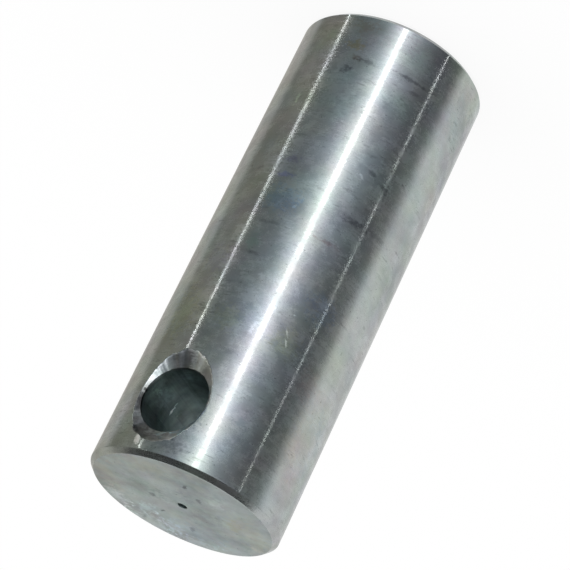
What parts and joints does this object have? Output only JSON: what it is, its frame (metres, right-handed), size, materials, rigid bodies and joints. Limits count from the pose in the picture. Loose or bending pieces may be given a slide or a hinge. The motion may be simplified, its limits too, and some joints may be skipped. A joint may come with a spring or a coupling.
{
  "type": "metal pin",
  "caption": "Plain round headless pin, chamfered at both ends, with a countersunk cross hole near one end for a retaining bolt or clip.",
  "frame": {"origin": "centre of the plain end face, the end that it stands on", "axes": "+Z along the pin's axis, towards the end with the cross hole; +Y along the cross hole"},
  "size_m": [0.03, 0.03, 0.08],
  "materials": {
    "zinc_plated_steel": "turned steel with a thin dull zinc plating, fine marks of turning, cloudy stains and light scratches"
  },
  "bodies": {
    "root": {"pin": "zinc_plated_steel"}
  },
  "joints": []
}
